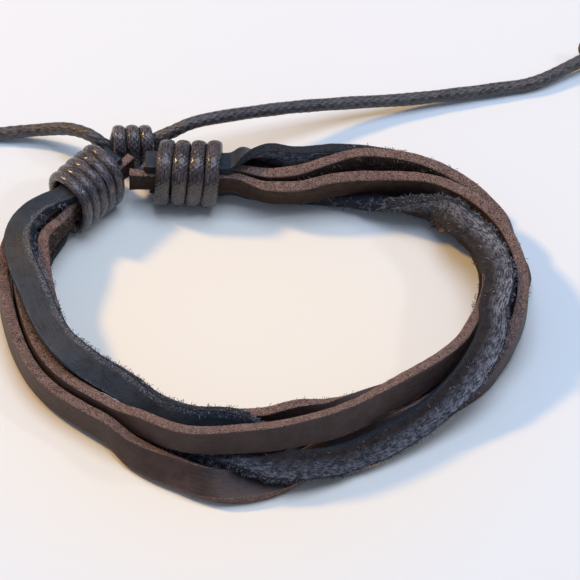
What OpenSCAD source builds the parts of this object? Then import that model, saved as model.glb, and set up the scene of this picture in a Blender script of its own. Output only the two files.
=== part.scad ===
// Leather bracelet of five loose straps, closed with two cord bindings and a sliding knot.
// Millimetres, +Z up, lying flat. The straps follow one loop, each with its own place in the bundle.

/* [Straps] */
// Width of every strap
strap_w = 4.4; // [4:0.1:4.4]
// Thickness of every strap
strap_t = 1.7; // [1.4:0.1:1.7]
// How far the cut edges are broken
strap_edge = 0.25; // [0.1:0.05:0.4]
// Rings along each strap
strap_rings = 58; // [50:1:70]

/* [Bindings] */
// Thickness of the binding cord, outward
bind_t = 1.35; // [1.1:0.05:1.5]
// Distance from one turn to the next
bind_pitch = 2.1; // [2.05:0.05:2.2]
// Turns of the left binding
left_turns = 4.2; // [3:0.1:4.4]
// Turns of the right binding
right_turns = 4.1; // [3:0.1:4.2]

/* [Sliding knot] */
// Turns of the sliding knot
knot_turns = 3.1; // [2:0.1:3.2]
// Thickness of the cord that wraps the knot
knot_t = 1.3; // [1:0.05:1.4]

/* [Cords] */
// Diameter of the two drawn cords
cord_d = 1.9; // [1.6:0.1:1.9]
// Size of the stopper knots across
stop_d = 4.6; // [4:0.1:5]

/* [Hidden] */
// Loop of the bundle, seen from above: one row per station, from the left end round to the right end.
// columns: at, x, y
loop = [[0, -20, 28], [1, -27.5, 20], [2, -34, 11], [3, -33.5, -0.5], [4, -29.5, -11], [5, -21, -18.5],
        [6, -11.5, -24.5], [7, 0, -26], [8, 11, -23.5], [9, 21, -18], [10, 29, -10], [11, 34, 0.5],
        [12, 32.5, 11.5], [13, 26, 20.5], [14, 15.5, 25], [15, 4, 25], [16, -7.5, 24.8],
        [17, -19.5, 25.3]];

// One table per strap: station, outward offset, height above the floor, roll.
// Roll 0 lies flat with the grain up, -90 stands on edge with the grain outward.
// columns: at, out, up, roll
brown_a = [[0, -1.45, 4.9, -90], [1.1, -1.45, 4.9, -90], [1.35, -2.1, 5.1, -90], [1.6, -2.55, 5.8, -90],
           [2, -2.6, 6.2, -90], [2.4, -3.1, 5.4, -90], [3, -3.2, 4.6, -90], [4, -3.2, 4.4, -90],
           [5, -3.7, 4.3, -90], [6, -4.3, 4.3, -90], [6.5, -5.1, 4.3, -90], [7, -5.2, 4.6, -90],
           [7.5, -4.98, 5.5, -84], [8, -4.3, 4.45, -58], [8.5, -4.3, 3.6, -23], [9, -3.8, 3.15, -8],
           [10, -1.3, 2.8, 0], [10.5, -1, 2.8, 0], [11, -0.2, 2.85, -4], [11.4, 1.5, 2.72, -14],
           [11.7, 2.5, 2.45, -42], [12, 3.3, 2.7, -76], [12.25, 3.38, 3.75, -86], [12.5, 2.8, 4.8, -88],
           [12.75, 2.2, 5.7, -90], [13, 1.8, 6.1, -90], [13.6, 1, 7, -90], [14.1, 0.2, 7.1, -90],
           [14.6, -0.8, 6.4, -85], [15, -1.5, 5.7, -78], [15.3, -1.2, 5, -80], [15.8, 0, 4.9, -90],
           [17, 0, 4.9, -90]];
brown_b = [[0, 1.45, 4.9, -90], [1.1, 1.45, 4.9, -90], [1.6, 2.3, 3.8, -90], [2, 2.8, 3.4, -90],
           [3, 2.9, 3.3, -90], [4, 2.95, 3, -92], [5, 3, 3.25, -88], [5.5, 3.7, 2.4, -70],
           [6, 3.9, 2.3, -52], [6.3, 4.6, 2.1, -40], [6.5, 4.85, 1.9, -26], [6.75, 4.42, 1.3, -10],
           [7, 3.7, 1.25, -10], [7.25, 2.6, 1.5, -19], [7.5, 1.4, 1.95, -30], [7.75, 0.7, 2.25, -38],
           [8, -0.1, 2.35, -46], [9, 0.7, 2.4, -52], [9.5, 1.3, 2.4, -74], [10, 2.8, 2.5, -100],
           [10.3, 3, 3.5, -98], [10.45, 3.2, 4.5, -96], [10.6, 3.2, 5.4, -95], [11, 2.8, 6.5, -92],
           [12, 1.4, 7, -92], [13, -0.4, 6.4, -92], [14, -2, 5.3, -75], [14.5, -2.8, 5.2, -78],
           [15, -3.3, 4.4, -76], [15.3, -3.1, 4.3, -78], [15.8, -1.45, 4.9, -90],
           [17, -1.45, 4.9, -90]];
brown_c = [[0, 0, 4.9, -90], [1.2, 0, 4.9, -90], [2, 0.5, 4.2, -90], [2.5, 0.7, 4.15, -90],
           [3, 0.9, 4.3, -90], [4, 0.95, 4.2, -90], [5, 0.95, 4.4, -90], [5.5, 1.1, 6.1, -90],
           [6, 1.6, 7.1, -88], [6.75, 0.4, 7.35, -80], [7, 0.2, 7.4, -77], [7.3, 0, 7.52, -75],
           [8, -0.6, 7.1, -71], [9, -1.8, 6.8, -80], [10, -1.5, 6.3, -88], [10.5, -2.1, 6, -90],
           [11.2, -2.3, 6.15, -90], [11.5, -2, 5.2, -90], [12, -1.7, 4.3, -90], [12.25, -1.9, 4.2, -88],
           [12.4, -2.1, 4, -85], [12.6, -2.3, 2.8, -62], [12.75, -1.9, 2, -35], [13, -0.5, 1.15, -8],
           [13.5, 1, 1, 0], [14, 2.6, 1, 0], [14.4, 4.2, 1.9, -30], [14.7, 4.1, 2.5, -65],
           [15, 3.7, 2.8, -82], [15.3, 3.5, 2.6, -85], [15.6, 2.4, 4.5, -90], [15.8, 1.45, 4.9, -90],
           [17, 1.45, 4.9, -90]];
black_a = [[0, 0, 7.25, 0], [1.1, 0, 7.3, 0], [1.35, 0.7, 7.5, -8], [1.6, 1.1, 7.7, -16],
           [2, 0.9, 7.9, -24], [3, -0.9, 7.9, -10], [4, -1.6, 7.95, -15], [4.5, -2, 7.45, -32],
           [5, -2.2, 7.1, -44], [5.5, -1.85, 6.65, -55], [6, -2, 6.85, -60], [6.5, -2.8, 6.8, -65],
           [6.75, -2.8, 6.2, -71], [7, -2.5, 4.2, -80], [7.5, -3.1, 2.3, -130], [7.75, -3.4, 1.5, -165],
           [8, -3.3, 1, -180], [9, -2.5, 1, -180], [10, -1.4, 1, -180], [11, -2.1, 1, -180],
           [12, -0.1, 1, -180], [12.25, 0.2, 1, -180], [12.5, 1.7, 1, -180], [12.75, 3.3, 2.2, -135],
           [13, 3.8, 2.7, -90], [13.25, 3.6, 3.8, -91], [13.5, 3, 4.4, -91], [14, 2.4, 4.9, -92],
           [14.25, 2.1, 5.4, -93], [14.5, 1.7, 6, -95], [15, 1, 6.5, -98], [15.3, 1.55, 7.15, -82],
           [15.5, 1.35, 7.75, -52], [15.62, 0.9, 8, -26], [15.8, 0, 7.25, 0], [17, 0, 7.25, 0]];
black_b = [[0, 0, 2.55, 180], [1.1, 0, 2.5, 180], [1.4, -0.8, 1.4, 180], [2, -0.9, 1, 180],
           [3, -1, 1, 180], [4, -1, 1, 180], [5, -0.7, 1, 180], [6, -0.7, 3, 178],
           [6.5, 0.1, 3.55, 176], [6.75, 1.22, 3.92, 172], [7, 2.4, 3.7, 163], [7.25, 2.85, 3.75, 152],
           [7.5, 3, 3.6, 142], [7.75, 2.9, 3.1, 133], [8, 2.6, 2.6, 126], [9, 2.4, 3.8, 127],
           [9.5, 2.5, 5.3, 138], [10, 2.1, 6.8, 150], [10.3, 1.5, 7.65, 156], [10.45, 0.9, 8.5, 164],
           [10.6, -0.1, 9.2, 174], [11.25, -0.9, 9.3, 180], [11.5, -1.2, 8.5, 187], [12, -2, 7.8, 205],
           [12.5, -2.95, 7.4, 228], [12.75, -2.8, 6.5, 246], [13, -2.6, 4.9, 262],
           [13.5, -3.2, 3.4, 300], [14, -2.4, 1.8, 336], [14.5, -1.1, 1.35, 348], [15, 0.2, 1, 360],
           [15.5, 0, 1.8, 360], [15.8, 0, 2.55, 360], [17, 0, 2.55, 360]];

// Stations where each strap starts and ends.
ends_brown_a = [0.02, 16.82];
ends_brown_b = [0.26, 16.98];
ends_brown_c = [0.20, 16.76];
ends_black_a = [0.20, 16.80];
ends_black_b = [0.16, 16.74];

// Stations of the two bindings, and how far they squeeze the straps.
left_mid = 0.72;
right_mid = 16.27;
pack = 0.73;
// Middle height of the bindings, and half of the room inside them.
bind_z = 4.9;
bore = [3.0, 3.5];
// Middle of the sliding knot, and half of the room inside it.
knot_mid = [-19.0, 30.4, 4.4];
knot_bore = [1.2, 2.2];

// Routes of the two drawn cords: from the far side of the sliding knot to the stopper knot.
//               at     x      y     z
route_right = [[0, -21.2, 30.4, 5.45], [1, -17.0, 30.4, 5.5], [2, -13.6, 31.1, 6.6], [3, -8.9, 32.7, 7.5],
               [4, 2.2, 36.6, 5.5], [5, 11.5, 39.4, 3.4], [6, 21.4, 41.6, 1.8], [7, 33.6, 44.1, 1.1],
               [8, 39.1, 45.4, 1.1], [9, 45.0, 48.6, 1.6]];
route_left = [[0, -14.9, 30.8, 3.3], [1, -18.0, 30.4, 3.3], [2, -21.2, 30.4, 3.4], [3, -23.2, 30.7, 4.7],
              [4, -25.2, 31.9, 5.3], [5, -28.2, 33.8, 4.3], [6, -32.4, 35.3, 2.3], [7, -37.8, 35.6, 1.15],
              [8, -42.5, 35.1, 1.1], [9, -48.5, 34.2, 1.6]];
stop_right = [46.9, 49.8, 2.3];
stop_left = [-50.8, 34.3, 2.3];

pi = 3.14159265;

// A smooth row at any station: a cubic through the rows either side, keeping their slopes.
function slope(tab, i) =
    let (a = tab[max(i - 1, 0)], b = tab[min(i + 1, len(tab) - 1)])
    (b - a) / (b[0] - a[0]);
// Strap tables take a gentler slope, so that no row is overshot.
function gentle(tab, i) = i == 0 || i == len(tab) - 1 ? tab[i] * 0 :
    let (l = (tab[i] - tab[i - 1]) / (tab[i][0] - tab[i - 1][0]),
         r = (tab[i + 1] - tab[i]) / (tab[i + 1][0] - tab[i][0]))
    [for (k = [0:len(l) - 1]) l[k] * r[k] <= 0 ? 0 : 2 * l[k] * r[k] / (l[k] + r[k])];
function below(tab, s, i = 0) = i + 2 >= len(tab) || s < tab[i + 1][0] ? i : below(tab, s, i + 1);
function row_at(tab, s, easy = false) =
    let (i = below(tab, s), a = tab[i], b = tab[i + 1], h = b[0] - a[0], t = (s - a[0]) / h)
    a * (1 + 2 * t) * (1 - t) * (1 - t) + b * t * t * (3 - 2 * t)
    + (easy ? gentle(tab, i) : slope(tab, i)) * h * t * (1 - t) * (1 - t)
    - (easy ? gentle(tab, i + 1) : slope(tab, i + 1)) * h * t * t * (1 - t);
function unit(v) = v / norm(v);

// The bundle's own directions: along the loop and outward from it.
function outward(s) = let (d = row_at(loop, s + 0.02) - row_at(loop, s - 0.02)) unit([d[2], -d[1]]);
function place(s, out, up) = let (p = row_at(loop, s), n = outward(s))
    [p[1] + n[0] * out, p[2] + n[1] * out, up];

// Straps are squeezed where the bindings grip them.
function grip(s, mid) = let (d = abs(s - mid)) d < 0.55 ? 1 : d > 1.1 ? 0 : (1.1 - d) / 0.55;
function size_at(s) = 1 - (1 - pack) * max(grip(s, left_mid), grip(s, right_mid));

// Half of the strap's section, with its edges broken, in strap width and thickness.
function strap_section(k) =
    let (w = strap_w * k / 2, t = strap_t * k / 2, e = strap_edge * k)
    [[w, t - e], [w - e, t], [e - w, t], [-w, t - e], [-w, e - t], [e - w, -t], [w - e, -t], [w, e - t]];
function strap_ring(tab, s) =
    let (r = row_at(tab, s, true), c = cos(r[3]), d = sin(r[3]))
    [for (p = strap_section(size_at(s))) place(s, r[1] + p[0] * c - p[1] * d, r[2] + p[0] * d + p[1] * c)];

// Rings joined into one closed skin.
module skin(rings) {
    m = len(rings[0]);
    n = len(rings);
    sides = [for (i = [0:n - 2], j = [0:m - 1]) let (a = i * m + j, b = i * m + (j + 1) % m)
                each [[a, b, b + m], [a, b + m, a + m]]];
    caps = [[for (j = [m - 1:-1:0]) j], [for (j = [0:m - 1]) (n - 1) * m + j]];
    polyhedron(points = [for (r = rings) each r], faces = concat(sides, caps), convexity = 8);
}
module strap(tab, ends) {
    skin([for (i = [0:strap_rings]) strap_ring(tab, ends[0] + (ends[1] - ends[0]) * i / strap_rings)]);
}

// A flattened cord wound on a rounded box: half sizes of the bore, then the angle.
function wind(half, a) =
    let (c = cos(a), d = sin(a), k = pow(pow(abs(c), 2.5) + pow(abs(d), 2.5), -1 / 2.5))
    [half[0] * c * k, half[1] * d * k];
oval = [for (i = [0:7]) [cos(i * 45 + 22.5), sin(i * 45 + 22.5)] * 1.08];

// Binding round the bundle, following the loop.
module binding(mid, turns) {
    per = 11.4;
    half = [bore[0] + bind_t / 2, bore[1] + bind_t / 2];
    steps = round(turns * 14);
    skin([for (i = [0:steps]) let (
        t = i / steps - 0.5, a = 360 * turns * t + 90, s = mid + turns * bind_pitch * t / per,
        c = wind(half, a), g = unit([c[0] / half[0] / half[0], c[1] / half[1] / half[1]]))
        [for (p = oval) let (e = p[0] * bind_t / 2, w = -p[1] * (bind_pitch - 0.12) / 2 / per)
            place(s + w, c[0] + g[0] * e, bind_z + c[1] + g[1] * e)]]);
}

module brown_strap_a() color("SaddleBrown") strap(brown_a, ends_brown_a);
module brown_strap_b() color("Sienna") strap(brown_b, ends_brown_b);
module brown_strap_c() color("SaddleBrown") strap(brown_c, ends_brown_c);
module black_strap_a() color("DarkSlateGray") strap(black_a, ends_black_a);
module black_strap_b() color("DimGray") strap(black_b, ends_black_b);
module binding_left() color("Gray") binding(left_mid, left_turns);
module binding_right() color("Gray") binding(right_mid, right_turns);

// Wraps round the two cords, wound along X.
module sliding_knot() color("SlateGray") {
    half = [knot_bore[0] + knot_t / 2, knot_bore[1] + knot_t / 2];
    pitch = knot_t * 1.45;
    steps = round(knot_turns * 12);
    skin([for (i = [0:steps]) let (
        t = i / steps - 0.5, a = 360 * knot_turns * t + 90, x = knot_turns * pitch * t,
        c = wind(half, a), g = unit([c[0] / half[0] / half[0], c[1] / half[1] / half[1]]))
        [for (p = oval) let (e = p[0] * knot_t / 2, w = p[1] * (pitch - 0.1) / 2)
            knot_mid + [x + w, c[0] + g[0] * e, c[1] + g[1] * e]]]);
}

// A plain round cord along a route, eight sides.
function spot(tab, s) = let (r = row_at(tab, s)) [r[1], r[2], r[3]];
module cord(tab, rings) {
    n = len(tab) - 1;
    skin([for (i = [0:rings]) let (
        s = n * i / rings, d = unit(spot(tab, s + 0.02) - spot(tab, s - 0.02)),
        u = unit(cross(d, [0, 0, 1])), v = cross(u, d))
        [for (j = [0:7]) spot(tab, s) + (u * cos(45 * j + 22.5) + v * sin(45 * j + 22.5)) * cord_d / 2]]);
}
module cord_left() color("DarkSlateGray") cord(route_left, 30);
module cord_right() color("DarkSlateGray") cord(route_right, 36);

// Overhand stopper knot of the same cord, a ball with two crossing lobes.
module stopper(at, turn) {
    n = 12;
    translate(at) rotate([0, 0, turn]) skin([for (i = [0:n]) let (u = 12 + 156 * i / n)
        [for (j = [0:15]) let (a = 22.5 * j, r = sin(u) * (1 + 0.09 * cos(2 * a + 1.6 * u)) * stop_d * 0.46)
            [-cos(u) * stop_d / 2, -r * cos(a), r * sin(a)]]]);
}
module stopper_knot_left() color("DarkSlateGray") stopper(stop_left, 0);
module stopper_knot_right() color("DarkSlateGray") stopper(stop_right, 30);

brown_strap_a();
brown_strap_b();
brown_strap_c();
black_strap_a();
black_strap_b();
binding_left();
binding_right();
sliding_knot();
cord_left();
cord_right();
stopper_knot_left();
stopper_knot_right();
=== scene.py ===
import math

import bmesh
import bpy
import numpy as np
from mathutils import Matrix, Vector, noise


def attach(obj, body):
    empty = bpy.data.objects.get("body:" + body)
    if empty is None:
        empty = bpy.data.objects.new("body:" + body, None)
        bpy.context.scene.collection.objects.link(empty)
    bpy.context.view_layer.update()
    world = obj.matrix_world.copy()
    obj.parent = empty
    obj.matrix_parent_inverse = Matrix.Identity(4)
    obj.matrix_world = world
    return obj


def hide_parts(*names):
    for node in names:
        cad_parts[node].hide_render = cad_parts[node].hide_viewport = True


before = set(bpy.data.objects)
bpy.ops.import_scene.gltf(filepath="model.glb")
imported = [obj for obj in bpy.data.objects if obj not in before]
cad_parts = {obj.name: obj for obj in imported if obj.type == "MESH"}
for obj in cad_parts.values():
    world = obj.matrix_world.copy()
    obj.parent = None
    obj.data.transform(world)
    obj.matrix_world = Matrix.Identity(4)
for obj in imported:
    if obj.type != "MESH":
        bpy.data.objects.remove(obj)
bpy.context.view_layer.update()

# Camera.
# The photo looks down at the bracelet at about fifty degrees from straight ahead. A long lens from
# far away keeps the view almost parallel, as it is there.
MM = 0.001
look_at = Vector((3.64, 7.26, 0.0)) * MM
away_mm = 4000
lift = math.radians(50)
picture_points, points_per_mm = 580, 7
sensor_mm = 36
cam_data = bpy.data.cameras.new("camera")
cam_data.sensor_width = sensor_mm
cam_data.lens = sensor_mm * away_mm / (picture_points / points_per_mm)
cam_data.clip_start = 0.01
camera = bpy.data.objects.new("camera", cam_data)
bpy.context.scene.collection.objects.link(camera)
camera.location = look_at + Vector((0, -math.cos(lift), math.sin(lift))) * (away_mm * MM)
camera.rotation_euler = (math.radians(90) - lift, 0, 0)
bpy.context.scene.camera = camera


# Drawn cords.
# Two plaited, waxed cords just under two millimetres thick. Each runs out of the sliding knot
# behind the loop, bends down onto the table and ends in a stopper knot.
cord_thickness = 1.9
# Rows: station, then x, y and z.
right_cord_route = [[0, -21.2, 30.4, 5.45], [1, -17.0, 30.4, 5.5], [2, -13.6, 31.1, 6.6],
                    [3, -8.9, 32.7, 7.5], [4, 2.2, 36.6, 5.5], [5, 11.5, 39.4, 3.4],
                    [6, 21.4, 41.6, 1.8], [7, 33.6, 44.1, 1.1], [8, 39.1, 45.4, 1.1],
                    [9, 45.0, 48.6, 1.6]]
left_cord_route = [[0, -14.9, 30.8, 3.3], [1, -18.0, 30.4, 3.3], [2, -21.2, 30.4, 3.4],
                   [3, -23.2, 30.7, 4.7], [4, -25.2, 31.9, 5.3], [5, -28.2, 33.8, 4.3],
                   [6, -32.4, 35.3, 2.3], [7, -37.8, 35.6, 1.15], [8, -42.5, 35.1, 1.1],
                   [9, -48.5, 34.2, 1.6]]


def rows_at(table, s, easy=False):
    """Values of a table at the stations s, on a smooth curve through its rows. An easy curve never
    swings past a row."""
    t = np.array(table, float)
    at, n = t[:, 0], len(t)
    i = np.clip(np.searchsorted(at, s, "right") - 1, 0, n - 2)
    step = (t[1:] - t[:-1]) / (at[1:] - at[:-1])[:, None]
    slope = np.zeros_like(t)
    if easy:
        lr = step[:-1] * step[1:]
        total = step[:-1] + step[1:]
        slope[1:-1] = np.where(lr > 0, 2 * lr / np.where(total == 0, 1, total), 0)
    else:
        slope[1:-1] = (t[2:] - t[:-2]) / (at[2:] - at[:-2])[:, None]
        slope[0], slope[-1] = step[0], step[-1]
    h = (at[i + 1] - at[i])[:, None]
    u = (s - at[i])[:, None] / h
    value = (t[i] * (1 + 2 * u) * (1 - u) ** 2 + t[i + 1] * u * u * (3 - 2 * u)
             + slope[i] * h * u * (1 - u) ** 2 - slope[i + 1] * h * u * u * (1 - u))
    return value[:, 1:]


def along(points):
    """Distance run at each point of a path."""
    return np.concatenate([[0], np.cumsum(np.linalg.norm(np.diff(points, axis=0), axis=1))])


def shell(name, rings, across, values):
    """A skin over rings of points, in millimetres, closed at both ends. Its UV map holds the run
    along it and the distance round it; values are numbers kept at each point for the materials."""
    n, m = rings.shape[:2]
    run = along(rings.mean(axis=1))
    points = np.vstack([rings.reshape(-1, 3), rings[0].mean(axis=0), rings[-1].mean(axis=0)])
    faces, marks = [], []
    for i in range(n - 1):
        for j in range(m):
            k = (j + 1) % m
            faces.append((i * m + j, (i + 1) * m + j, (i + 1) * m + k, i * m + k))
            marks.append(((run[i], across[j]), (run[i + 1], across[j]),
                          (run[i + 1], across[j + 1]), (run[i], across[j + 1])))
    for j in range(m):
        k = (j + 1) % m
        faces.append((n * m, j, k))
        marks.append(((run[0], 0.0),) * 3)
        faces.append((n * m + 1, (n - 1) * m + k, (n - 1) * m + j))
        marks.append(((run[-1], 0.0),) * 3)
    mesh = bpy.data.meshes.new(name)
    mesh.from_pydata((points * MM).tolist(), [], faces)
    uv = mesh.uv_layers.new(name="run")
    uv.data.foreach_set("uv", np.array([c for f in marks for c in f], float).ravel())
    for label, amount in values.items():
        flat = np.concatenate([np.asarray(amount, float).ravel(), [0.0, 0.0]])
        mesh.attributes.new(label, "FLOAT", "POINT").data.foreach_set("value", flat)
    bm = bmesh.new()
    bm.from_mesh(mesh)
    bmesh.ops.recalc_face_normals(bm, faces=bm.faces)
    bm.to_mesh(mesh)
    bm.free()
    mesh.shade_smooth()
    obj = bpy.data.objects.new(name, mesh)
    bpy.context.scene.collection.objects.link(obj)
    return obj


def plait(turn, run, strands, lay):
    """Height, 0 to 1, of a plaited surface at an angle round the cord and a run along it."""
    p = strands * turn / (2 * np.pi) + run / lay
    q = strands * turn / (2 * np.pi) - run / lay
    over = (np.floor(p) + np.floor(q)) % 2 < 0.5
    fp, fq = np.sin(np.pi * (p % 1)), np.sin(np.pi * (q % 1))
    dip, fullness = 0.28, 0.6
    return np.where(over, fq ** fullness * (1 - dip + dip * fp), fp ** fullness * (1 - dip + dip * fq))


def tube_frames(path):
    """Side and upper direction at each point of a path, carried along it without twisting."""
    d = np.gradient(path, axis=0)
    d /= np.linalg.norm(d, axis=1)[:, None]
    side = np.cross(d[0], (0.1, 0.2, 1.0))
    sides = []
    for one in d:
        side = side - one * (side @ one)
        side = side / np.linalg.norm(side)
        sides.append(side)
    return np.array(sides), np.cross(sides, d)


def plaited_tube(name, path, thickness, around, relief, strands, lay):
    """A round plaited cord along a path of closely set points, a little uneven in twist and girth."""
    side, top = tube_frames(path)
    run = along(path)
    turn = np.linspace(0, 2 * np.pi, around, endpoint=False)
    height = plait(turn[None, :] + 0.15 * np.sin(run[:, None] * 0.31), run[:, None], strands, lay)
    girth = (1 + 0.025 * np.sin(run * 0.9 + 1.3 * np.sin(run * 0.23)))[:, None]
    radius = thickness / 2 * (1 - relief + relief * height) * girth
    spoke = side[:, None] * np.cos(turn)[None, :, None] + top[:, None] * np.sin(turn)[None, :, None]
    rings = path[:, None] + radius[..., None] * spoke
    return shell(name, rings, np.linspace(0, np.pi * thickness, around + 1), {"strand": height})


def route_points(route):
    """Points at an even gap, in millimetres, along a cord's route."""
    gap = 0.12
    stations = np.linspace(0, route[-1][0], 400)
    run = along(rows_at(route, stations))
    even = np.linspace(0, 1, int(run[-1] / gap))
    return rows_at(route, np.interp(even, run / run[-1], stations))


def grow(tree, kind, **settings):
    """A node of a material or geometry tree. Settings that name a socket set its value."""
    node = tree.nodes.new(kind)
    for key, value in settings.items():
        if hasattr(node, key):
            setattr(node, key, value)
        else:
            node.inputs[key.replace("_", " ")].default_value = value
    return node


def group(name, **inputs):
    """A shader node group with an input for each colour and number named here. It gives the colour,
    the roughness and the height of a surface."""
    tree = bpy.data.node_groups.new(name, "ShaderNodeTree")
    for label, value in inputs.items():
        kind = "NodeSocketColor" if isinstance(value, tuple) else "NodeSocketFloat"
        tree.interface.new_socket(label, in_out="INPUT", socket_type=kind).default_value = value
    for label, kind in (("Colour", "NodeSocketColor"), ("Roughness", "NodeSocketFloat"),
                        ("Height", "NodeSocketFloat")):
        tree.interface.new_socket(label, in_out="OUTPUT", socket_type=kind)
    return tree, grow(tree, "NodeGroupInput").outputs, grow(tree, "NodeGroupOutput").inputs


def feed(tree, sockets, values):
    """Gives each socket its value, which may be another socket or a plain value."""
    for socket, value in zip(sockets, values):
        if hasattr(value, "is_output"):
            tree.links.new(value, socket)
        else:
            socket.default_value = value


def blend(tree, factor, a, b):
    """Mixes two colours."""
    node = grow(tree, "ShaderNodeMix", data_type="RGBA", clamp_factor=True)
    feed(tree, (node.inputs[0], node.inputs[6], node.inputs[7]), (factor, a, b))
    return node.outputs[2]


def between(tree, factor, a, b):
    """Mixes two numbers."""
    node = grow(tree, "ShaderNodeMix")
    feed(tree, (node.inputs[0], node.inputs[2], node.inputs[3]), (factor, a, b))
    return node.outputs[0]


def number(tree, how, a, b=0.0, c=0.0):
    """A sum on up to three numbers."""
    node = grow(tree, "ShaderNodeMath", operation=how)
    feed(tree, node.inputs, (a, b, c))
    return node.outputs[0]


def spread(tree, value, low, high, to_low=0.0, to_high=1.0):
    """Stretches a number from one range to another and holds it there."""
    node = grow(tree, "ShaderNodeMapRange")
    feed(tree, node.inputs, (value, low, high, to_low, to_high))
    return node.outputs[0]


def specks(tree, place, scale, detail=3.0, rough=0.55):
    """Noise by place, from 0 to 1."""
    node = grow(tree, "ShaderNodeTexNoise", Scale=scale, Detail=detail, Roughness=rough)
    tree.links.new(place, node.inputs["Vector"])
    return node.outputs[0]


def kept(tree, label):
    """A number that the mesh keeps at each point."""
    return grow(tree, "ShaderNodeAttribute", attribute_name=label).outputs["Fac"]


def stretched(tree, place, scale, rotation=(0, 0, 0)):
    """A place that is stretched and turned before noise reads it."""
    node = grow(tree, "ShaderNodeMapping", Scale=scale, Rotation=rotation)
    tree.links.new(place, node.inputs[0])
    return node.outputs[0]


# Fibres along the plies, painted shade between the plies, darker fibres and patches at random, and wax that
# catches the light.
waxed, w_in, w_out = group("waxed plies", Ply=(0.1, 0.1, 0.1, 1), Gap=(0.01, 0.01, 0.01, 1),
                           Rubbed=(0.2, 0.2, 0.22, 1), Wax=0.4)
place = grow(waxed, "ShaderNodeTexCoord").outputs["Object"]
run_uv = grow(waxed, "ShaderNodeUVMap", uv_map="run").outputs[0]
strand = kept(waxed, "strand")
fibre = specks(waxed, stretched(waxed, run_uv, (0.7, 7.0, 1.0)), 1.0, 4.0, 0.6)
patch = specks(waxed, place, 420.0, 2.0)
fine = specks(waxed, place, 5200.0, 2.0)
# painted shade: the colour darkens in the low places between the plies
colour = blend(waxed, spread(waxed, strand, 0.25, 0.75), w_in["Gap"], w_in["Ply"])
colour = blend(waxed, spread(waxed, fibre, 0.50, 0.62, 0.0, 0.75), colour, w_in["Rubbed"])
# darker fibres and patches at random, the cord's own colour
colour = blend(waxed, spread(waxed, fibre, 0.46, 0.36, 0.0, 0.8), colour, w_in["Gap"])
colour = blend(waxed, spread(waxed, patch, 0.35, 0.65, 0.0, 0.5), colour, w_in["Gap"])
waxed.links.new(colour, w_out["Colour"])
dull = number(waxed, "MULTIPLY_ADD", spread(waxed, fibre, 0.35, 0.65), 0.18, 0.34)
gloss = number(waxed, "MULTIPLY", w_in["Wax"], spread(waxed, patch, 0.4, 0.6, 0.05, 0.3))
waxed.links.new(number(waxed, "SUBTRACT", dull, gloss), w_out["Roughness"])
threads = number(waxed, "MULTIPLY_ADD", fibre, 0.7, number(waxed, "MULTIPLY", fine, 0.25))
waxed.links.new(number(waxed, "MULTIPLY_ADD", strand, 0.35, threads), w_out["Height"])


def finish(name, tree, depth, specular, coat=0.0, coat_roughness=0.3, **values):
    """A surface from a shader group, with its own colours and the shader's own gloss values."""
    mat = bpy.data.materials.new(name)
    mat.use_nodes = True
    nt = mat.node_tree
    shader = nt.nodes["Principled BSDF"]
    part = grow(nt, "ShaderNodeGroup", node_tree=tree, **values)
    bump = grow(nt, "ShaderNodeBump", Strength=1.0, Distance=depth)
    nt.links.new(part.outputs["Colour"], shader.inputs["Base Color"])
    nt.links.new(part.outputs["Roughness"], shader.inputs["Roughness"])
    nt.links.new(part.outputs["Height"], bump.inputs["Height"])
    nt.links.new(bump.outputs[0], shader.inputs["Normal"])
    shader.inputs["Specular IOR Level"].default_value = specular
    shader.inputs["Coat Weight"].default_value = coat
    shader.inputs["Coat Roughness"].default_value = coat_roughness
    return mat


drawn_cord_wax = finish("drawn cord wax", waxed, depth=0.00012, specular=0.5, coat=0.15, coat_roughness=0.35,
                        Ply=(0.085, 0.070, 0.066, 1), Gap=(0.012, 0.010, 0.009, 1),
                        Rubbed=(0.17, 0.15, 0.145, 1), Wax=0.5)
drawn_cords = {}
for side_name, route, plies, lay in (("left", left_cord_route, 6, 1.5), ("right", right_cord_route, 7, 1.3)):
    path = route_points(route)
    last_step = path[-1] - path[-2]
    into_knot = path[-1] + last_step / np.linalg.norm(last_step) * 1.1
    piece = plaited_tube("drawn_cord_" + side_name, np.vstack([path, into_knot]), cord_thickness,
                         around=40, relief=0.11, strands=plies, lay=lay)
    piece.data.materials.append(drawn_cord_wax)
    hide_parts("cord_" + side_name)
    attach(piece, "root")
    drawn_cords[side_name] = (piece, path)


# Stopper knots.
# Each cord ends in an overhand knot of its own, pulled tight into a small ball. It is the same
# plaited cord, a little thinner where it is pulled.
tight_cord = 1.75
stops = {"left": ((-50.8, 34.3, 2.35), 0.0), "right": ((46.9, 49.8, 2.35), 30.0)}
for side_name, (spot, turned) in stops.items():
    a = np.linspace(0, 2 * np.pi, 200)
    knot = np.stack([-0.55 * np.sin(3 * a), 0.44 * (np.sin(a) + 2 * np.sin(2 * a)),
                     0.44 * (np.cos(a) - 2 * np.cos(2 * a))], axis=1)
    c, d = math.cos(math.radians(turned)), math.sin(math.radians(turned))
    knot = knot @ np.array([[c, d, 0], [-d, c, 0], [0, 0, 1]]) + spot
    piece = plaited_tube("stopper_knot_" + side_name + "_cord", knot, tight_cord,
                         around=28, relief=0.09, strands=6, lay=1.4)
    piece.data.materials.append(drawn_cord_wax)
    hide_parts("stopper_knot_" + side_name)
    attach(piece, "root")
    cord_piece, path = drawn_cords[side_name]


# Straps.
# Five strips cut from two hides, 4.4 mm wide and 1.7 mm thick: three brown, two blue-black.
# They lie loose between the bindings, some on edge and some flat, and cross over each other.
strap_width, strap_thickness = 4.4, 1.7
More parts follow.
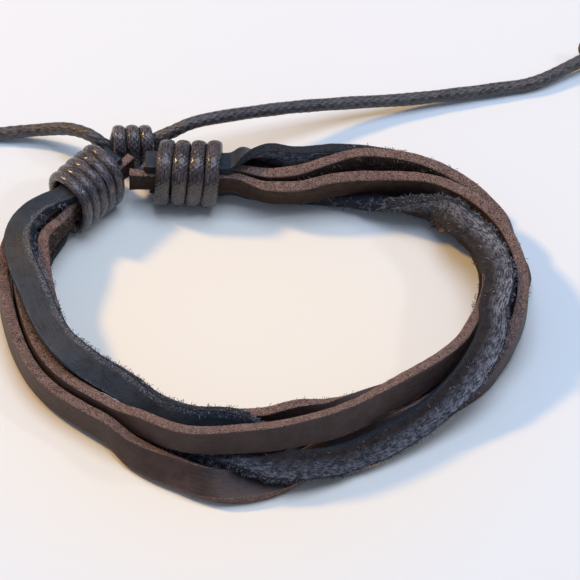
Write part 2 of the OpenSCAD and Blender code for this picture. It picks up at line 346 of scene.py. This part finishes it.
# The way round the wrist. Rows: station, x and y; one station is about 11.4 mm from the next.
loop_step = 11.4
loop = [[0, -20, 28], [1, -27.5, 20], [2, -34, 11], [3, -33.5, -0.5], [4, -29.5, -11], [5, -21, -18.5],
        [6, -11.5, -24.5], [7, 0, -26], [8, 11, -23.5], [9, 21, -18], [10, 29, -10], [11, 34, 0.5],
        [12, 32.5, 11.5], [13, 26, 20.5], [14, 15.5, 25], [15, 4, 25], [16, -7.5, 24.8],
        [17, -19.5, 25.3]]

# One table for each strap. Rows: station on the loop, place outward of it, height, and roll. Roll 0
# lies flat with the grain up, and -90 stands on edge with the grain outward.
brown_a = [[0, -1.45, 4.9, -90], [1.1, -1.45, 4.9, -90], [1.35, -2.1, 5.1, -90], [1.6, -2.55, 5.8, -90],
           [2, -2.6, 6.2, -90], [2.4, -3.1, 5.4, -90], [3, -3.2, 4.6, -90], [4, -3.2, 4.4, -90],
           [5, -3.7, 4.3, -90], [6, -4.3, 4.3, -90], [6.5, -5.1, 4.3, -90], [7, -5.2, 4.6, -90],
           [7.5, -4.98, 5.5, -84], [8, -4.3, 4.45, -58], [8.5, -4.3, 3.6, -23], [9, -3.8, 3.15, -8],
           [10, -1.3, 2.8, 0], [10.5, -1, 2.8, 0], [11, -0.2, 2.85, -4], [11.4, 1.5, 2.72, -14],
           [11.7, 2.5, 2.45, -42], [12, 3.3, 2.7, -76], [12.25, 3.38, 3.75, -86], [12.5, 2.8, 4.8, -88],
           [12.75, 2.2, 5.7, -90], [13, 1.8, 6.1, -90], [13.6, 1, 7, -90], [14.1, 0.2, 7.1, -90],
           [14.6, -0.8, 6.4, -85], [15, -1.5, 5.7, -78], [15.3, -1.2, 5, -80], [15.8, 0, 4.9, -90],
           [17, 0, 4.9, -90]]
brown_b = [[0, 1.45, 4.9, -90], [1.1, 1.45, 4.9, -90], [1.6, 2.3, 3.8, -90], [2, 2.8, 3.4, -90],
           [3, 2.9, 3.3, -90], [4, 2.95, 3, -92], [5, 3, 3.25, -88], [5.5, 3.7, 2.4, -70],
           [6, 3.9, 2.3, -52], [6.3, 4.6, 2.1, -40], [6.5, 4.85, 1.9, -26], [6.75, 4.42, 1.3, -10],
           [7, 3.7, 1.25, -10], [7.25, 2.6, 1.5, -19], [7.5, 1.4, 1.95, -30], [7.75, 0.7, 2.25, -38],
           [8, -0.1, 2.35, -46], [9, 0.7, 2.4, -52], [9.5, 1.3, 2.4, -74], [10, 2.8, 2.5, -100],
           [10.3, 3, 3.5, -98], [10.45, 3.2, 4.5, -96], [10.6, 3.2, 5.4, -95], [11, 2.8, 6.5, -92],
           [12, 1.4, 7, -92], [13, -0.4, 6.4, -92], [14, -2, 5.3, -75], [14.5, -2.8, 5.2, -78],
           [15, -3.3, 4.4, -76], [15.3, -3.1, 4.3, -78], [15.8, -1.45, 4.9, -90], [17, -1.45, 4.9, -90]]
brown_c = [[0, 0, 4.9, -90], [1.2, 0, 4.9, -90], [2, 0.5, 4.2, -90], [2.5, 0.7, 4.15, -90],
           [3, 0.9, 4.3, -90], [4, 0.95, 4.2, -90], [5, 0.95, 4.4, -90], [5.5, 1.1, 6.1, -90],
           [6, 1.6, 7.1, -88], [6.75, 0.4, 7.35, -80], [7, 0.2, 7.4, -77], [7.3, 0, 7.52, -75],
           [8, -0.6, 7.1, -71], [9, -1.8, 6.8, -80], [10, -1.5, 6.3, -88], [10.5, -2.1, 6, -90],
           [11.2, -2.3, 6.15, -90], [11.5, -2, 5.2, -90], [12, -1.7, 4.3, -90], [12.25, -1.9, 4.2, -88],
           [12.4, -2.1, 4, -85], [12.6, -2.3, 2.8, -62], [12.75, -1.9, 2, -35], [13, -0.5, 1.15, -8],
           [13.5, 1, 1, 0], [14, 2.6, 1, 0], [14.4, 4.2, 1.9, -30], [14.7, 4.1, 2.5, -65],
           [15, 3.7, 2.8, -82], [15.3, 3.5, 2.6, -85], [15.6, 2.4, 4.5, -90], [15.8, 1.45, 4.9, -90],
           [17, 1.45, 4.9, -90]]
black_a = [[0, 0, 7.25, 0], [1.1, 0, 7.3, 0], [1.35, 0.7, 7.5, -8], [1.6, 1.1, 7.7, -16],
           [2, 0.9, 7.9, -24], [3, -0.9, 7.9, -10], [4, -1.6, 7.95, -15], [4.5, -2, 7.45, -32],
           [5, -2.2, 7.1, -44], [5.5, -1.85, 6.65, -55], [6, -2, 6.85, -60], [6.5, -2.8, 6.8, -65],
           [6.75, -2.8, 6.2, -71], [7, -2.5, 4.2, -80], [7.5, -3.1, 2.3, -130], [7.75, -3.4, 1.5, -165],
           [8, -3.3, 1, -180], [9, -2.5, 1, -180], [10, -1.4, 1, -180], [11, -2.1, 1, -180],
           [12, -0.1, 1, -180], [12.25, 0.2, 1, -180], [12.5, 1.7, 1, -180], [12.75, 3.3, 2.2, -135],
           [13, 3.8, 2.7, -90], [13.25, 3.6, 3.8, -91], [13.5, 3, 4.4, -91], [14, 2.4, 4.9, -92],
           [14.25, 2.1, 5.4, -93], [14.5, 1.7, 6, -95], [15, 1, 6.5, -98], [15.3, 1.55, 7.15, -82],
           [15.5, 1.35, 7.75, -52], [15.62, 0.9, 8, -26], [15.8, 0, 7.25, 0], [17, 0, 7.25, 0]]
black_b = [[0, 0, 2.55, 180], [1.1, 0, 2.5, 180], [1.4, -0.8, 1.4, 180], [2, -0.9, 1, 180],
           [3, -1, 1, 180], [4, -1, 1, 180], [5, -0.7, 1, 180], [6, -0.7, 3, 178],
           [6.5, 0.1, 3.55, 176], [6.75, 1.22, 3.92, 172], [7, 2.4, 3.7, 163], [7.25, 2.85, 3.75, 152],
           [7.5, 3, 3.6, 142], [7.75, 2.9, 3.1, 133], [8, 2.6, 2.6, 126], [9, 2.4, 3.8, 127],
           [9.5, 2.5, 5.3, 138], [10, 2.1, 6.8, 150], [10.3, 1.5, 7.65, 156], [10.45, 0.9, 8.5, 164],
           [10.6, -0.1, 9.2, 174], [11.25, -0.9, 9.3, 180], [11.5, -1.2, 8.5, 187], [12, -2, 7.8, 205],
           [12.5, -2.95, 7.4, 228], [12.75, -2.8, 6.5, 246], [13, -2.6, 4.9, 262],
           [13.5, -3.2, 3.4, 300], [14, -2.4, 1.8, 336], [14.5, -1.1, 1.35, 348], [15, 0.2, 1, 360],
           [15.5, 0, 1.8, 360], [15.8, 0, 2.55, 360], [17, 0, 2.55, 360]]

# Where the bindings sit on the loop, how small they squeeze a strap's section, and how near the
# table anything comes.
left_binding_at, right_binding_at = 0.72, 16.27
squeezed = 0.73
above_table = 0.03


def place_on_loop(s, out, up):
    """Points beside the loop: out is the way away from its middle, up the height."""
    here = rows_at(loop, s)
    d = rows_at(loop, s + 0.02) - rows_at(loop, s - 0.02)
    d /= np.linalg.norm(d, axis=1)[:, None]
    x = here[:, 0][:, None] + d[:, 1][:, None] * out
    y = here[:, 1][:, None] - d[:, 0][:, None] * out
    return np.stack([x, y, np.broadcast_to(up, x.shape)], axis=2)


def gripped(s):
    """Size of a strap's section at the stations s, 1 where it is free."""
    held = [np.clip((1.1 - abs(s - mid)) / 0.55, 0, 1) for mid in (left_binding_at, right_binding_at)]
    return 1 - (1 - squeezed) * np.maximum(*held)


# Section of a strap: its two faces and two cut edges, with the corners just broken.
corner = 0.24
half_w, half_t = strap_width / 2, strap_thickness / 2
inner_w, inner_t = half_w - corner, half_t - corner
section, kinds = [], []
for kind, start, end, count, centre, turn in (
        ("grain", (inner_w, half_t), (-inner_w, half_t), 15, (-inner_w, inner_t), 90),
        ("edge", (-half_w, inner_t), (-half_w, -inner_t), 6, (-inner_w, -inner_t), 180),
        ("flesh", (-inner_w, -half_t), (inner_w, -half_t), 15, (inner_w, -inner_t), 270),
        ("edge", (half_w, -inner_t), (half_w, inner_t), 6, (inner_w, inner_t), 0)):
    section.extend(np.linspace(start, end, count))
    kinds += [kind] * count
    for k in (1, 2):
        a = math.radians(turn + 30 * k)
        section.append((centre[0] + corner * math.cos(a), centre[1] + corner * math.sin(a)))
        kinds.append("edge")
section, kinds = np.array(section), np.array(kinds)
round_it = along(np.vstack([section, section[:1]]))


def wander(points, size, seed):
    """Slow unevenness, -1 to 1, at each point; size is in millimetres."""
    flat = points.reshape(-1, 3) / size + seed
    return np.array([noise.noise(Vector(p)) for p in flat]).reshape(points.shape[:-1])


def strap(name, table, ends, seed, lumps, frays, rubs):
    """One strap. lumps says how uneven its flesh side is, frays where fibres stand out of it:
    (from, to, face, from, to, how thickly), with face grain, flesh or edge and a part of the width.
    rubs says where the grain is rubbed through beside an edge: (from, to, edge side, width)."""
    rings_s = np.linspace(ends[0], ends[1], 420)
    r = rows_at(table, rings_s, easy=True)
    k = gripped(rings_s)
    roll = np.radians(r[:, 2])[:, None]
    # a little uneven in width and thickness, as hand-cut strips are
    run = rings_s * loop_step
    wide = 1 + 0.018 * np.sin(run * 0.13 + seed) + 0.012 * np.sin(run * 0.41 + 2 * seed)
    deep = 1 + 0.03 * np.sin(run * 0.23 + 3 * seed)
    a = section[None, :, 0] * (k * wide)[:, None]
    b = section[None, :, 1] * (k * deep)[:, None]
    c, d = np.cos(roll), np.sin(roll)
    rings = place_on_loop(rings_s, r[:, 0][:, None] + a * c - b * d, r[:, 1][:, None] + a * d + b * c)
    # each face is pushed in and out a little along its own direction
    outward = rings - rings.mean(axis=1, keepdims=True)
    outward /= np.linalg.norm(outward, axis=2, keepdims=True)
    soft = np.where(kinds == "flesh", lumps, np.where(kinds == "edge", 0.05, 0.02))[None, :]
    push = soft * (wander(rings, 1.1, seed) + 0.5 * wander(rings, 0.45, seed + 9)) - 0.6 * soft
    rings = rings + outward * (push * np.minimum(k, 1)[:, None])[..., None]
    rings[..., 2] = np.maximum(rings[..., 2], above_table)
    grain = np.broadcast_to((kinds == "grain").astype(float), push.shape)
    flesh = np.broadcast_to((kinds == "flesh").astype(float), push.shape)
    # the grain is worn in patches along both edges, and where it is rubbed
    at_edge = np.clip(1 - (half_w - abs(section[:, 0])) / 0.55, 0, 1)
    worn = at_edge[None, :] * np.clip(0.5 + 1.6 * wander(rings, 2.6, seed + 4), 0, 1)
    for s0, s1, side, band in rubs:
        fade = np.clip(np.minimum(rings_s - s0, s1 - rings_s) / 0.6, 0, 1)[:, None]
        reach = band * fade * (1 + 0.35 * wander(rings, 1.6, seed + 31))
        from_side = half_w - side * section[None, :, 0]
        worn = np.maximum(worn, np.clip((reach - from_side) / 0.35, 0, 1))
    # fibres stand in tufts, and none on what lies on the table
    thick = np.zeros_like(push)
    for s0, s1, face, v0, v1, amount in frays:
        inside = (rings_s[:, None] > s0) & (rings_s[:, None] < s1) & (kinds[None, :] == face)
        inside = inside & (section[None, :, 0] >= v0 * half_w) & (section[None, :, 0] <= v1 * half_w)
        thick = np.where(inside, amount, thick)
    thick = thick * np.clip(0.25 + 1.9 * wander(rings, 0.9, seed + 20), 0, 1)
    thick = thick * (rings[..., 2] > 0.7)
    # the pale nap shows towards one edge, and fainter before the front of the loop than from it on
    nap = np.clip(0.5 - section[:, 0] / half_w, 0, 1)[None, :]
    nap = nap * np.interp(rings_s, (7.5, 9.5), (0.45, 1.0))[:, None]
    return shell(name, rings, round_it,
                 {"grain": grain, "flesh": flesh, "worn": worn, "fray": thick, "nap": nap})


# Hide seen from all sides: a grain face with fine pores and creases that is paler where worn,
# cut edges with open fibre and dark pores, and a napped flesh side.
hide, h_in, h_out = group("hide", Grain=(0.1, 0.1, 0.1, 1), Worn=(0.2, 0.2, 0.2, 1), Edge=(0.3, 0.25, 0.2, 1),
                          Pore=(0.02, 0.02, 0.02, 1), Flesh=(0.1, 0.1, 0.1, 1), Tuft=(0.3, 0.3, 0.35, 1),
                          Shine=0.4, Nap=0.5)
place = grow(hide, "ShaderNodeTexCoord").outputs["Object"]
run_uv = grow(hide, "ShaderNodeUVMap", uv_map="run").outputs[0]
is_grain, is_flesh, is_worn, is_nap = [kept(hide, label) for label in ("grain", "flesh", "worn", "nap")]
long_way = stretched(hide, run_uv, (0.55, 3.4, 1.0))
cloud = specks(hide, place, 260.0, 3.0)
mottle = specks(hide, place, 900.0, 4.0)
pebbles = grow(hide, "ShaderNodeTexVoronoi", Scale=3600.0)
hide.links.new(place, pebbles.inputs["Vector"])
tiny = specks(hide, place, 6500.0, 3.0)
streak = specks(hide, long_way, 1.0, 5.0, 0.62)
crease = specks(hide, long_way, 0.55, 2.0, 0.5)
open_fibre = specks(hide, place, 4200.0, 4.0, 0.65)
# grain face
face = blend(hide, spread(hide, cloud, 0.35, 0.68, 0.0, 0.55), h_in["Grain"], h_in["Worn"])
face = blend(hide, spread(hide, mottle, 0.5, 0.3, 0.0, 0.4), face, h_in["Pore"])
face = blend(hide, spread(hide, streak, 0.56, 0.70, 0.0, 0.35), face, h_in["Worn"])
for amount, tone in ((spread(hide, tiny, 0.35, 0.6, 0.3, 1.0), "Worn"),
                      (spread(hide, open_fibre, 0.50, 0.60, 0.0, 0.5), "Tuft"),
                      (spread(hide, tiny, 0.47, 0.40, 0.0, 0.9), "Pore")):
    face = blend(hide, number(hide, "MULTIPLY", is_worn, amount), face, h_in[tone])
# cut edge
cut = blend(hide, spread(hide, mottle, 0.40, 0.66, 0.0, 0.4), h_in["Edge"], h_in["Worn"])
cut = blend(hide, spread(hide, open_fibre, 0.50, 0.42, 0.0, 0.6), cut, h_in["Grain"])
cut = blend(hide, spread(hide, tiny, 0.48, 0.41, 0.0, 0.95), cut, h_in["Pore"])
# flesh side, with the nap lying aslant
back = blend(hide, spread(hide, open_fibre, 0.40, 0.62, 0.0, 0.6), h_in["Pore"], h_in["Flesh"])
back = blend(hide, spread(hide, mottle, 0.35, 0.6, 0.25, 0.9), back, h_in["Flesh"])
lying = specks(hide, stretched(hide, run_uv, (1.1, 4.6, 1.0), (0, 0, 0.5)), 1.0, 4.0, 0.7)
hairs = number(hide, "MULTIPLY", spread(hide, lying, 0.41, 0.57), spread(hide, mottle, 0.36, 0.54, 0.3, 1.0))
lit = number(hide, "MULTIPLY", hairs, number(hide, "MULTIPLY", h_in["Nap"], is_nap))
back = blend(hide, lit, back, h_in["Tuft"])
hide.links.new(blend(hide, is_flesh, blend(hide, is_grain, cut, face), back), h_out["Colour"])
matt = number(hide, "MULTIPLY_ADD", spread(hide, mottle, 0.3, 0.7), 0.16, 0.80)
smooth = number(hide, "MULTIPLY_ADD", spread(hide, cloud, 0.3, 0.7), 0.14, 0.62)
smooth = number(hide, "SUBTRACT", smooth, number(hide, "MULTIPLY", h_in["Shine"], 0.35))
hide.links.new(between(hide, is_grain, matt, smooth), h_out["Roughness"])
fine_face = number(hide, "MULTIPLY", crease, 0.35)
fine_face = number(hide, "MULTIPLY_ADD", pebbles.outputs[0], 0.25, fine_face)
rough_side = number(hide, "MULTIPLY_ADD", open_fibre, 1.5, number(hide, "MULTIPLY", tiny, 0.5))
hide.links.new(between(hide, is_grain, rough_side, fine_face), h_out["Height"])

brown_hide = finish("brown hide", hide, depth=0.00016, specular=0.28,
                    Grain=(0.046, 0.028, 0.023, 1), Worn=(0.105, 0.068, 0.057, 1),
                    Edge=(0.33, 0.21, 0.17, 1), Pore=(0.022, 0.010, 0.007, 1),
                    Flesh=(0.060, 0.032, 0.020, 1), Tuft=(0.20, 0.14, 0.10, 1), Shine=0.5, Nap=0.3)
black_hide = finish("blue-black hide", hide, depth=0.00016, specular=0.22,
                    Grain=(0.024, 0.030, 0.039, 1), Worn=(0.052, 0.062, 0.077, 1),
                    Edge=(0.040, 0.042, 0.048, 1), Pore=(0.005, 0.005, 0.006, 1),
                    Flesh=(0.052, 0.038, 0.034, 1), Tuft=(0.34, 0.35, 0.40, 1), Shine=0.6, Nap=1.0)

made = {}
for name, table, ends, seed, lumps, frays, rubs, skin, slot_name in (
        ("brown_strap_a", brown_a, (0.02, 16.82), 1.7, 0.10,
         [(6.5, 12, "edge", -1, 1, 0.25), (12.5, 16, "flesh", -1, 1, 0.45), (1.9, 6.5, "flesh", -1, 1, 0.2),
          (0.85, 1.9, "flesh", -1, 1, 1.0), (0.85, 1.9, "edge", -1, 1, 0.5)],
         [], brown_hide, "brown_leather"),
        ("brown_strap_b", brown_b, (0.26, 16.98), 4.1, 0.10,
         [(0.8, 3, "flesh", -1, 1, 0.2), (11, 15, "edge", -1, 1, 0.2)],
         [], brown_hide, "brown_leather"),
        ("brown_strap_c", brown_c, (0.20, 16.76), 7.3, 0.10,
         [(0.8, 1.9, "flesh", -1, 1, 1.0), (0.8, 1.9, "edge", -1, 1, 0.8), (12.5, 16, "edge", -1, 1, 0.5)],
         [], brown_hide, "brown_leather"),
        ("black_strap_a", black_a, (0.20, 16.80), 2.9, 0.10,
         [(1.2, 7.3, "edge", -1, -0.9, 0.7), (7.5, 12.4, "edge", 0.9, 1, 0.5), (12.4, 14.3, "edge", -1, 1, 1.0),
          (12.4, 14.3, "flesh", -1, 1, 0.4), (1.2, 7.3, "grain", -1, -0.75, 0.25)],
         [(1.0, 7.4, -1, 1.15)], black_hide, "black_leather"),
        ("black_strap_b", black_b, (0.16, 16.74), 5.6, 0.20,
         [(5.5, 15, "flesh", -1, 0.1, 0.8), (5.5, 15, "flesh", 0.1, 1, 0.15), (5.5, 15, "edge", -1, 0, 1.0)],
         [], black_hide, "black_leather")):
    piece = strap(name + "_leather", table, ends, seed, lumps, frays, rubs)
    piece.data.materials.append(skin)
    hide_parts(name)
    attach(piece, "root")
    made[name] = piece


# Loose fibres of the leather.
# Cut edges and the napped flesh side shed short curled fibres, a tenth as thick as a thread. They are
# still rooted in the leather and stand thickest where it is roughest.
fibre_tree = bpy.data.node_groups.new("leather fibres", "GeometryNodeTree")
for label, kind, value in (
        ("Strap", "NodeSocketGeometry", None), ("Per square metre", "NodeSocketFloat", 2e7),
        ("Length", "NodeSocketFloat", 0.0005), ("Thickness", "NodeSocketFloat", 0.00003),
        ("Seed", "NodeSocketInt", 1), ("Material", "NodeSocketMaterial", None)):
    socket = fibre_tree.interface.new_socket(label, in_out="INPUT", socket_type=kind)
    if value is not None:
        socket.default_value = value
fibre_tree.interface.new_socket("Fibres", in_out="OUTPUT", socket_type="NodeSocketGeometry")
g_in, g_out = grow(fibre_tree, "NodeGroupInput").outputs, grow(fibre_tree, "NodeGroupOutput").inputs
wire = fibre_tree.links.new
# roots, as close together as the strap says
fray = grow(fibre_tree, "GeometryNodeInputNamedAttribute", data_type="FLOAT", Name="fray")
roots = grow(fibre_tree, "GeometryNodeDistributePointsOnFaces")
wire(g_in["Strap"], roots.inputs["Mesh"])
density = number(fibre_tree, "MULTIPLY", fray.outputs["Attribute"], g_in["Per square metre"])
wire(density, roots.inputs["Density"])
wire(g_in["Seed"], roots.inputs["Seed"])
# one curled fibre, a unit long and thinner towards its tip
bend = grow(fibre_tree, "GeometryNodeCurveQuadraticBezier", Resolution=4,
            Start=(0, 0, -0.1), Middle=(0.1, 0.05, 0.6), End=(0.75, 0.1, 0.75))
taper = grow(fibre_tree, "GeometryNodeSplineParameter")
radius = grow(fibre_tree, "GeometryNodeSetCurveRadius")
wire(bend.outputs[0], radius.inputs["Curve"])
wire(number(fibre_tree, "SUBTRACT", 1.1, taper.outputs["Factor"]), radius.inputs["Radius"])
ring = grow(fibre_tree, "GeometryNodeCurvePrimitiveCircle", Resolution=3)
wire(number(fibre_tree, "DIVIDE", g_in["Thickness"], g_in["Length"]), ring.inputs["Radius"])
body = grow(fibre_tree, "GeometryNodeCurveToMesh", Fill_Caps=True)
wire(radius.outputs[0], body.inputs["Curve"])
wire(ring.outputs[0], body.inputs["Profile Curve"])
# each turned its own way and a little longer or shorter than the next
spin = grow(fibre_tree, "FunctionNodeRandomValue", data_type="FLOAT_VECTOR",
            Min=(-0.7, -0.7, 0), Max=(0.7, 0.7, 6.283))
wire(g_in["Seed"], spin.inputs["Seed"])
turned = grow(fibre_tree, "FunctionNodeRotateEuler", space="LOCAL")
wire(roots.outputs["Rotation"], turned.inputs["Rotation"])
wire(spin.outputs["Value"], turned.inputs["Rotate By"])
sizes = grow(fibre_tree, "FunctionNodeRandomValue", data_type="FLOAT")
sizes.inputs[2].default_value, sizes.inputs[3].default_value = 0.35, 1.3
wire(g_in["Seed"], sizes.inputs["Seed"])
sown = grow(fibre_tree, "GeometryNodeInstanceOnPoints")
wire(roots.outputs["Points"], sown.inputs["Points"])
wire(body.outputs[0], sown.inputs["Instance"])
wire(turned.outputs[0], sown.inputs["Rotation"])
wire(number(fibre_tree, "MULTIPLY", sizes.outputs[1], g_in["Length"]), sown.inputs["Scale"])
real = grow(fibre_tree, "GeometryNodeRealizeInstances")
wire(sown.outputs[0], real.inputs[0])
coloured = grow(fibre_tree, "GeometryNodeSetMaterial")
wire(real.outputs[0], coloured.inputs["Geometry"])
wire(g_in["Material"], coloured.inputs["Material"])
wire(coloured.outputs[0], g_out[0])


def fibre_surface(name, root, tip):
    """Dull fibre, from one colour to another by noise."""
    mat = bpy.data.materials.new(name)
    mat.use_nodes = True
    nt = mat.node_tree
    shader = nt.nodes["Principled BSDF"]
    where = grow(nt, "ShaderNodeTexCoord").outputs["Object"]
    tone = blend(nt, spread(nt, specks(nt, where, 1500.0), 0.4, 0.6), root, tip)
    nt.links.new(tone, shader.inputs["Base Color"])
    nt.links.new(spread(nt, specks(nt, where, 700.0), 0.3, 0.7, 0.7, 0.95), shader.inputs["Roughness"])
    return mat


brown_fibre = fibre_surface("brown fibre", (0.05, 0.030, 0.022, 1), (0.24, 0.165, 0.13, 1))
blue_fibre = fibre_surface("blue-grey fibre", (0.014, 0.014, 0.018, 1), (0.32, 0.335, 0.38, 1))
for name, thickly, length, thick, stuff, slot_name in (
        ("brown_strap_a", 2.0e7, 0.00045, 0.000032, brown_fibre, "brown_leather"),
        ("brown_strap_b", 1.5e7, 0.00035, 0.00003, brown_fibre, "brown_leather"),
        ("brown_strap_c", 1.6e7, 0.0006, 0.00003, brown_fibre, "brown_leather"),
        ("black_strap_a", 3.0e7, 0.0005, 0.000034, blue_fibre, "black_leather"),
        ("black_strap_b", 2.4e7, 0.00048, 0.000034, blue_fibre, "black_leather")):
    carrier = bpy.data.objects.new(name + "_sown", made[name].data)
    bpy.context.scene.collection.objects.link(carrier)
    sow = carrier.modifiers.new("fibres", "NODES")
    sow.node_group = fibre_tree
    settings = {"Per square metre": thickly, "Length": length, "Thickness": thick, "Seed": 7, "Material": stuff}
    for item in fibre_tree.interface.items_tree:
        if item.name in settings:
            sow[item.identifier] = settings[item.name]
    bpy.context.view_layer.update()
    grown = bpy.data.meshes.new_from_object(carrier.evaluated_get(bpy.context.evaluated_depsgraph_get()))
    bpy.data.objects.remove(carrier)
    grown.name = name + "_fibres"
    hair = bpy.data.objects.new(name + "_fibres", grown)
    bpy.context.scene.collection.objects.link(hair)
    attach(hair, "root")


# Bindings.
# Waxed cord, pressed flat, wound side by side round all the straps at each end of the loop. It starts
# and ends underneath, and the left one is wound with a paler wax.
def squared(angle, power):
    """A point on a rounded square at each angle. A power of 2 gives a plain circle."""
    c, d = np.cos(angle), np.sin(angle)
    k = (abs(c) ** power + abs(d) ** power) ** (-1 / power)
    return c * k, d * k


def wound(name, centre, half, turns, pitch, thick, seed, on_loop):
    """Cord wound round a rounded box, either round the loop at a station or round the drawn cords."""
    around, steps_a_turn, plies, lay, uneven = 40, 150, 7, 0.7, 0.05
    t = np.linspace(-0.5, 0.5, int(turns * steps_a_turn) + 1)
    a = 2 * np.pi * turns * t + np.pi * (turns - 0.5)
    # the way round the bundle, and the direction that faces out of it
    cx, cz = squared(a, 2.5)
    cx, cz = cx * half[0], cz * half[1]
    gx, gz = cx / half[0] ** 2, cz / half[1] ** 2
    g = np.hypot(gx, gz)
    gx, gz = gx / g, gz / g
    # the pressed cord's own section
    turn = np.linspace(0, 2 * np.pi, around, endpoint=False)
    x, y = squared(turn, 2.2)
    run = along(np.stack([cx, cz, turns * pitch * t], axis=1))
    height = plait(turn[None, :] + 0.1 * np.sin(run[:, None] * 0.7), run[:, None], plies, lay)
    swell = (1 + uneven * np.sin(run * 0.55 + seed) + 0.4 * uneven * np.sin(run * 1.7 + 2 * seed))[:, None]
    e = x[None, :] * thick / 2 * (0.88 + 0.12 * height) * swell
    w = y[None, :] * pitch / 2 * (0.95 + 0.05 * height) * swell
    side = (turns * t + 0.10 * np.sin(a * 0.93 + seed)) * pitch
    out = cx[:, None] + gx[:, None] * e
    up = cz[:, None] + gz[:, None] * e
    if on_loop:
        s = centre[0] + (side[:, None] + w) / loop_step
        foot, beside = [place_on_loop(s.ravel(), d, 0.0).reshape(s.shape + (3,)) for d in (0.0, 1.0)]
        rings = foot + (beside - foot) * out[..., None]
        rings[..., 2] = np.maximum(centre[1] + up, above_table)
    else:
        rings = np.stack([centre[0] + side[:, None] + w, centre[1] + out, centre[2] + up], axis=2)
    return shell(name, rings, np.linspace(0, 2 * (thick + pitch), around + 1), {"strand": height})


binding_wax = finish("binding wax", waxed, depth=0.0002, specular=0.35, coat=0.6, coat_roughness=0.16,
                     Ply=(0.062, 0.045, 0.043, 1), Gap=(0.006, 0.0042, 0.004, 1),
                     Rubbed=(0.20, 0.155, 0.15, 1), Wax=0.9)
# a paler copy of the binding wax, for the left binding and the sliding knot
paler_binding_wax = finish("paler binding wax", waxed, depth=0.0002, specular=0.35, coat=0.6, coat_roughness=0.16,
                    Ply=(0.092, 0.073, 0.076, 1), Gap=(0.005, 0.004, 0.004, 1),
                    Rubbed=(0.28, 0.24, 0.25, 1), Wax=0.9)
binding_thick, binding_z = 1.35, 4.9
binding_half = (3.0 + binding_thick / 2, 3.5 + binding_thick / 2)
for name, at, turns, pitch, seed, wax in (("binding_left", left_binding_at, 5, 1.76, 0.6, paler_binding_wax),
                                          ("binding_right", right_binding_at, 4, 2.12, 2.3, binding_wax)):
    piece = wound(name + "_cord", (at, binding_z), binding_half, turns, pitch, binding_thick, seed,
                  on_loop=True)
    piece.data.materials.append(wax)
    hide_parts(name)
    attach(piece, "root")


# Sliding knot.
# The same waxed cord, wrapped three times round the two drawn cords. It grips them and slides along
# them, which sets the loop's size.
knot_thick = 1.3
knot_half = (1.2 + knot_thick / 2, 2.2 + knot_thick / 2)
knot_pitch = knot_thick * 1.45
piece = wound("sliding_knot_cord", (-19.0, 30.4, 4.4), knot_half, 3, knot_pitch, knot_thick, 1.1,
              on_loop=False)
piece.data.materials.append(paler_binding_wax)
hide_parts("sliding_knot")
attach(piece, "root")


# Table and light.
# A plain matt white table with a painted warm glow round the loop. The light is a warm lamp low at the
# back left, a broad cool one overhead, a small pale one at the right for glints, and a cool room all round.
floor_mesh = bpy.data.meshes.new("table")
floor_mesh.from_pydata([(-3, -3, 0), (3, -3, 0), (3, 3, 0), (-3, 3, 0)], [], [(0, 1, 2, 3)])
floor = bpy.data.objects.new("table", floor_mesh)
bpy.context.scene.collection.objects.link(floor)
floor_skin = bpy.data.materials.new("table paint")
floor_skin.use_nodes = True
paint = floor_skin.node_tree
on_table = grow(paint, "ShaderNodeTexCoord").outputs["Object"]
cloudy = spread(paint, specks(paint, on_table, 14.0), 0.3, 0.7)
tone = blend(paint, cloudy, (0.87, 0.88, 0.85, 1), (0.85, 0.87, 0.85, 1))
# painted light: a warm glow on the table, full within 20 mm of a point near the loop's middle and gone at 52 mm
glow_distance = grow(paint, "ShaderNodeVectorMath", operation="DISTANCE")
glow_distance.inputs[1].default_value = (-0.006, -0.008, 0)
paint.links.new(on_table, glow_distance.inputs[0])
tone = blend(paint, spread(paint, glow_distance.outputs["Value"], 0.020, 0.052), (0.91, 0.85, 0.715, 1), tone)
paint.links.new(tone, paint.nodes["Principled BSDF"].inputs["Base Color"])
paint.nodes["Principled BSDF"].inputs["Roughness"].default_value = 0.75
paint.nodes["Principled BSDF"].inputs["Specular IOR Level"].default_value = 0.2
floor.data.materials.append(floor_skin)


def lamp(name, spot, size, watts, tint):
    """A round soft lamp turned towards the bracelet."""
    data = bpy.data.lights.new(name, "AREA")
    data.shape, data.size, data.energy, data.color = "DISK", size, watts, tint
    obj = bpy.data.objects.new(name, data)
    bpy.context.scene.collection.objects.link(obj)
    obj.location = spot
    obj.rotation_euler = (-Vector(spot)).to_track_quat("-Z", "Y").to_euler()


lamp("window", (-0.67, 0.36, 0.66), 0.13, 6.2, (1.0, 0.61, 0.18))
lamp("sky", (0.12, 0.12, 1.10), 0.80, 9.4, (0.56, 0.67, 0.90))
lamp("side window", (0.72, 0.05, 0.60), 0.07, 0.9, (0.86, 0.93, 1.0))
world = bpy.data.worlds.new("room")
world.use_nodes = True
world.node_tree.nodes["Background"].inputs["Color"].default_value = (0.55, 0.68, 0.97, 1)
world.node_tree.nodes["Background"].inputs["Strength"].default_value = 0.36
bpy.context.scene.world = world
# the plain view transform, because the default one greys the white table
bpy.context.scene.view_settings.view_transform = "Standard"
